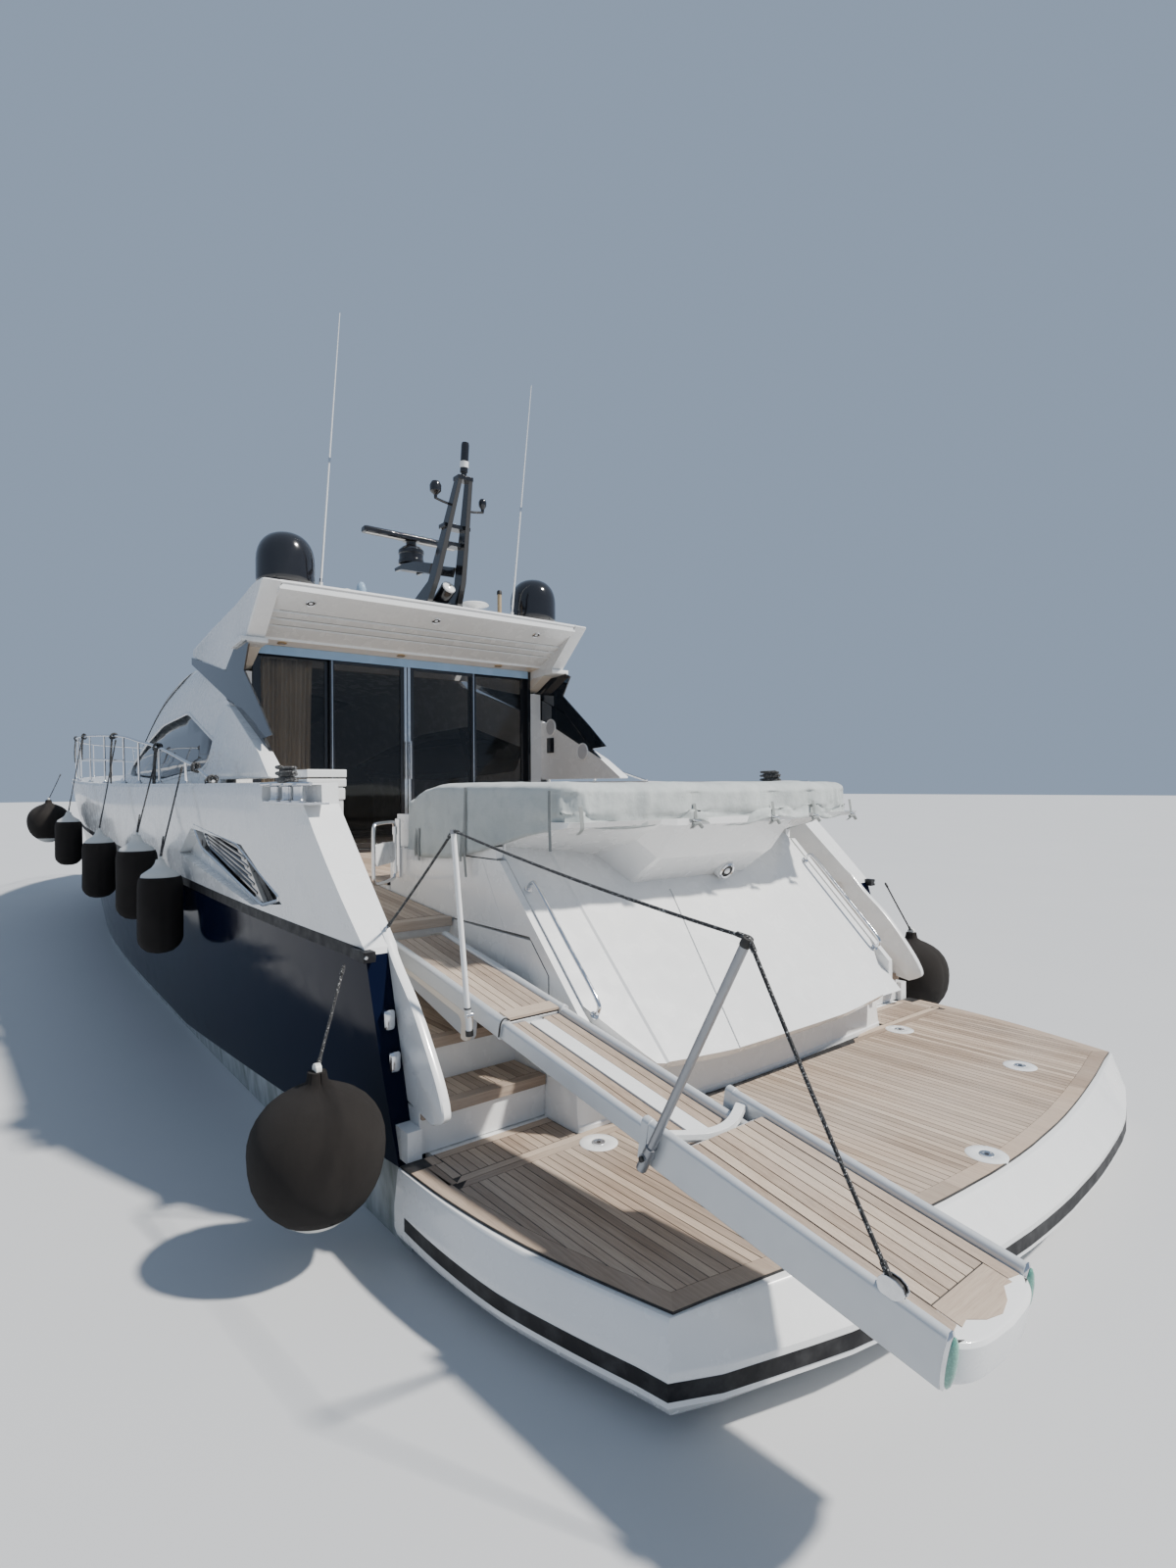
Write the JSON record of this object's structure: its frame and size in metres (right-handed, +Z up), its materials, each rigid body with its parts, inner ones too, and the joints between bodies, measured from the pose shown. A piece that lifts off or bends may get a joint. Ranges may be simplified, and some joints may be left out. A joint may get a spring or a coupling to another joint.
{
  "type": "motor yacht",
  "caption": "Sports motor yacht afloat with swim platform, opening stern garage, boarding bridge, glazed cabin, hardtop, radar mast and bow rail.",
  "frame": {"origin": "on the waterline amidships, on the centreline", "axes": "+X towards the bow, +Y to port, +Z up"},
  "size_m": [23.3876, 6.39, 8.5909],
  "materials": {
    "navy_gelcoat": "gloss",
    "white_gelcoat": "gloss",
    "teak": "weathered",
    "black_gloss": "gloss",
    "rub_rail": "satin",
    "stainless": "polished",
    "tinted_glass": "gloss",
    "cover_fabric": "matte",
    "alloy": "satin",
    "bronze": "satin",
    "cream_leather": "satin",
    "fender_cover": "matte"
  },
  "bodies": {
    "boat": {"hull": "navy_gelcoat", "foredeck": "white_gelcoat", "quarter_port": "white_gelcoat", "quarter_starboard": "white_gelcoat", "cockpit_moulding": "white_gelcoat", "cockpit_teak": "teak", "swim_platform": "white_gelcoat", "platform_teak": "teak", "platform_rub_rail": "rub_rail", "rub_rail": "rub_rail", "garage_wall_port": "white_gelcoat", "garage_wall_starboard": "white_gelcoat", "superstructure": "white_gelcoat", "windscreen": "tinted_glass", "side_window_port": "tinted_glass", "quarter_glass_port": "tinted_glass", "side_window_starboard": "tinted_glass", "quarter_glass_starboard": "tinted_glass", "windscreen_cover": "cover_fabric", "hardtop": "white_gelcoat", "door_frame": "black_gloss", "door_fixed_port": "tinted_glass", "door_fixed_starboard": "tinted_glass", "dome_port": "black_gloss", "whip_port": "white_gelcoat", "dome_starboard": "black_gloss", "whip_starboard": "white_gelcoat", "radar_mast": "black_gloss", "bow_rail": "stainless", "vent_port": "stainless", "vent_starboard": "stainless", "anchor": "stainless", "cockpit_locker": "white_gelcoat", "saloon_sofa": "cream_leather", "helm_console": "black_gloss", "shaft_port": "bronze", "shaft_starboard": "bronze", "fender_1": "fender_cover", "fender_2": "fender_cover", "fender_3": "fender_cover", "fender_4": "fender_cover", "ball_fender_bow": "fender_cover", "ball_fender_port": "fender_cover", "ball_fender_starboard": "fender_cover"},
    "garage_lid": {"garage_lid": "white_gelcoat", "sunpad_cover": "cover_fabric", "grab_rail_port": "stainless", "grab_rail_starboard": "stainless"},
    "bridge": {"bridge_inner": "alloy", "stanchion_inner": "alloy"},
    "bridge_outer": {"bridge_outer": "alloy", "stanchion_outer": "alloy"},
    "gate": {"gate": "stainless"},
    "door_port": {"door_leaf_port": "tinted_glass"},
    "door_starboard": {"door_leaf_starboard": "tinted_glass"},
    "radar_scanner": {"radar_scanner": "black_gloss"},
    "propeller_port": {"propeller_port": "bronze"},
    "propeller_starboard": {"propeller_starboard": "bronze"},
    "rudder_port": {"rudder_port": "bronze"},
    "rudder_starboard": {"rudder_starboard": "bronze"}
  },
  "joints": [
    {"name": "garage_lid_hinge", "type": "hinge", "parent": "boat", "child": "garage_lid", "pos_m": [-7.1, 0, 2], "axis": [0, 1, 0], "range_deg": [0, 35]},
    {"name": "bridge_lift", "type": "hinge", "parent": "boat", "child": "bridge", "pos_m": [-8.21, 1.85, 1.416], "axis": [0, 1, 0], "range_deg": [-6, 25]},
    {"name": "bridge_extend", "type": "slide", "parent": "bridge", "child": "bridge_outer", "axis": [0.9866, 0, 0.1633], "range_m": [0, 0.75]},
    {"name": "gate_hinge", "type": "hinge", "parent": "boat", "child": "gate", "pos_m": [-7.29, 1.575, 1.65], "axis": [0, 0, 1], "range_deg": [-45, 40]},
    {"name": "door_slide_port", "type": "slide", "parent": "boat", "child": "door_port", "axis": [0, 1, 0], "range_m": [0, 0.8]},
    {"name": "door_slide_starboard", "type": "slide", "parent": "boat", "child": "door_starboard", "axis": [0, -1, 0], "range_m": [0, 0.8]},
    {"name": "radar_turn", "type": "hinge", "parent": "boat", "child": "radar_scanner", "pos_m": [-4.4, 0, 5.3], "axis": [0, 0, 1], "continuous": true},
    {"name": "propeller_turn_port", "type": "hinge", "parent": "boat", "child": "propeller_port", "pos_m": [-8.45, 1, -1.01], "axis": [1, 0, 0], "continuous": true},
    {"name": "propeller_turn_starboard", "type": "hinge", "parent": "boat", "child": "propeller_starboard", "pos_m": [-8.45, -1, -1.01], "axis": [1, 0, 0], "continuous": true},
    {"name": "rudder_turn_port", "type": "hinge", "parent": "boat", "child": "rudder_port", "pos_m": [-8.94, 1, -1], "axis": [0, 0, 1], "range_deg": [-35, 35]},
    {"name": "rudder_turn_starboard", "type": "hinge", "parent": "boat", "child": "rudder_starboard", "pos_m": [-8.94, -1, -1], "axis": [0, 0, 1], "range_deg": [-35, 35]}
  ]
}
